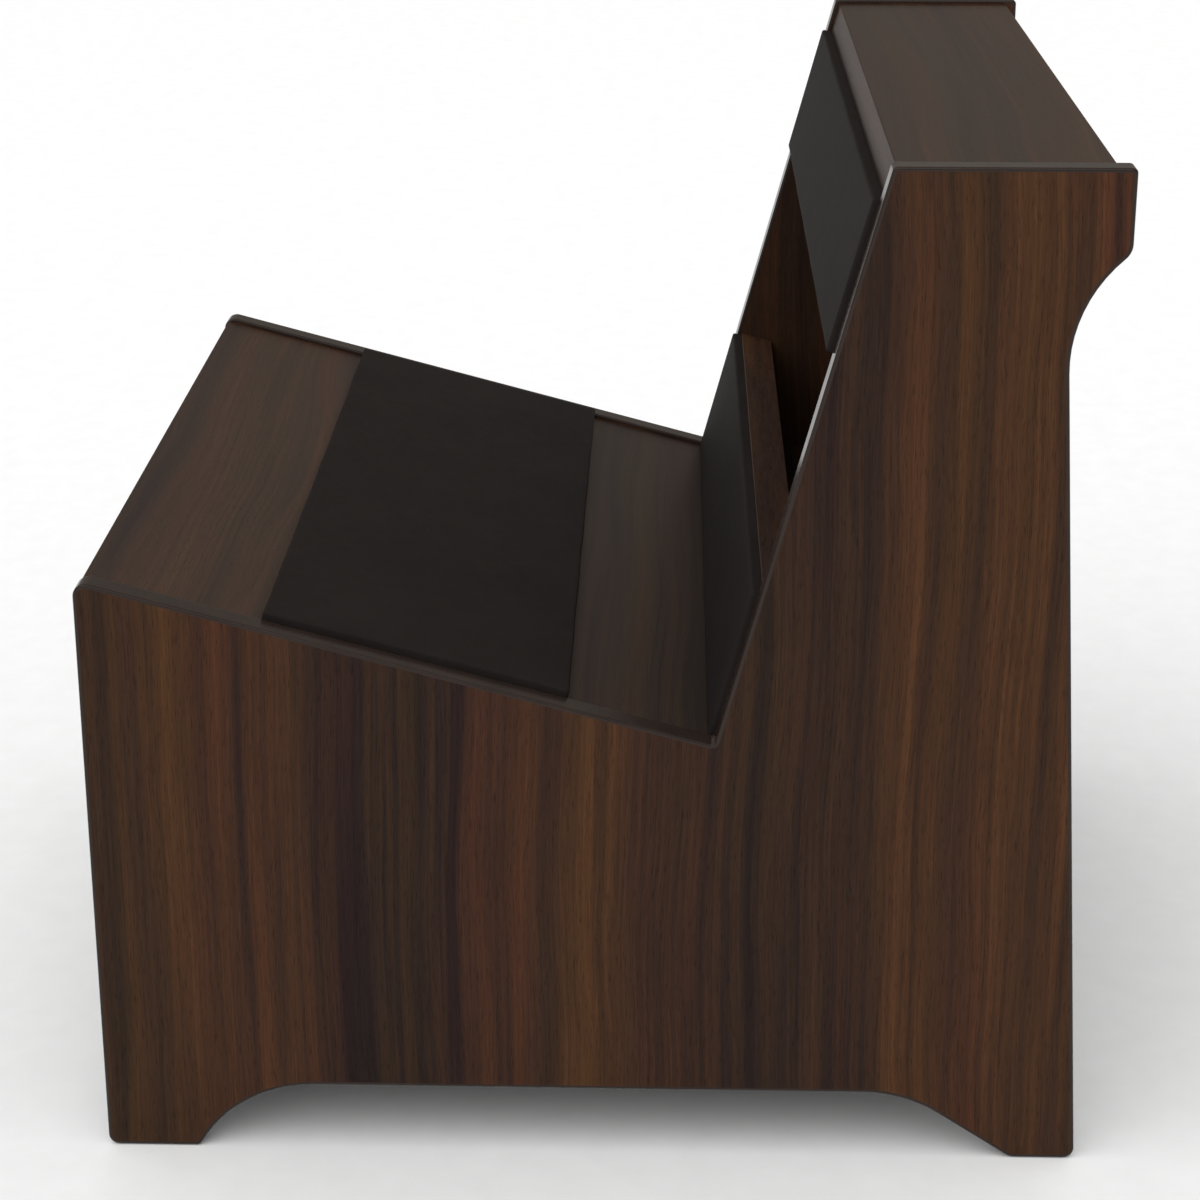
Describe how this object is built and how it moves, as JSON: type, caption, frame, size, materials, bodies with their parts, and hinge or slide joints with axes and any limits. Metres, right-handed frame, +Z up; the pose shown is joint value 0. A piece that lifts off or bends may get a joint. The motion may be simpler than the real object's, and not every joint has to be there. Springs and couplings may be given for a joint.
{
  "type": "high-backed bench",
  "caption": "High-backed wooden bench with sloped seat, leaning back, thin pads, a gap in the back over a storage pocket, a flat top and arched side panels.",
  "frame": {"origin": "middle of the footprint on the floor", "axes": "+Z up, -Y towards the sitter's knees (front), +X to the sitter's left"},
  "size_m": [0.711, 0.733, 0.762],
  "materials": {
    "walnut_laminate": "satin dark walnut laminate",
    "laminate_edge": "satin walnut edge band",
    "edge_moulding": "satin dark brown moulding",
    "black_vinyl": "matt black vinyl, fine grain",
    "foam": "open cell foam",
    "plywood": "raw birch plywood",
    "beech": "raw beech",
    "zinc_casting": "cast zinc",
    "zinc_plated_steel": "zinc plated"
  },
  "bodies": {
    "root": {"cam_bolts": "zinc_plated_steel", "cam_nuts": "zinc_casting", "dowels": "beech", "edge_moulding_left": "edge_moulding", "edge_moulding_right": "edge_moulding", "front_panel": "walnut_laminate", "front_panel_bottom_band": "laminate_edge", "lower_back_board": "walnut_laminate", "lower_back_pad_backer": "plywood", "lower_back_pad_cover": "black_vinyl", "lower_back_pad_foam": "foam", "lower_back_top_band": "laminate_edge", "pad_screws": "zinc_plated_steel", "pad_staples": "zinc_plated_steel", "rear_panel": "walnut_laminate", "rear_panel_bottom_band": "laminate_edge", "seat_board": "walnut_laminate", "seat_front_band": "laminate_edge", "seat_pad_backer": "plywood", "seat_pad_cover": "black_vinyl", "seat_pad_foam": "foam", "shelf_board": "walnut_laminate", "side_panel_left": "walnut_laminate", "side_panel_right": "walnut_laminate", "top_board": "walnut_laminate", "top_front_band": "laminate_edge", "top_rear_band": "laminate_edge", "upper_back_board": "walnut_laminate", "upper_back_bottom_band": "laminate_edge", "upper_back_pad_backer": "plywood", "upper_back_pad_cover": "black_vinyl", "upper_back_pad_foam": "foam"}
  },
  "joints": []
}
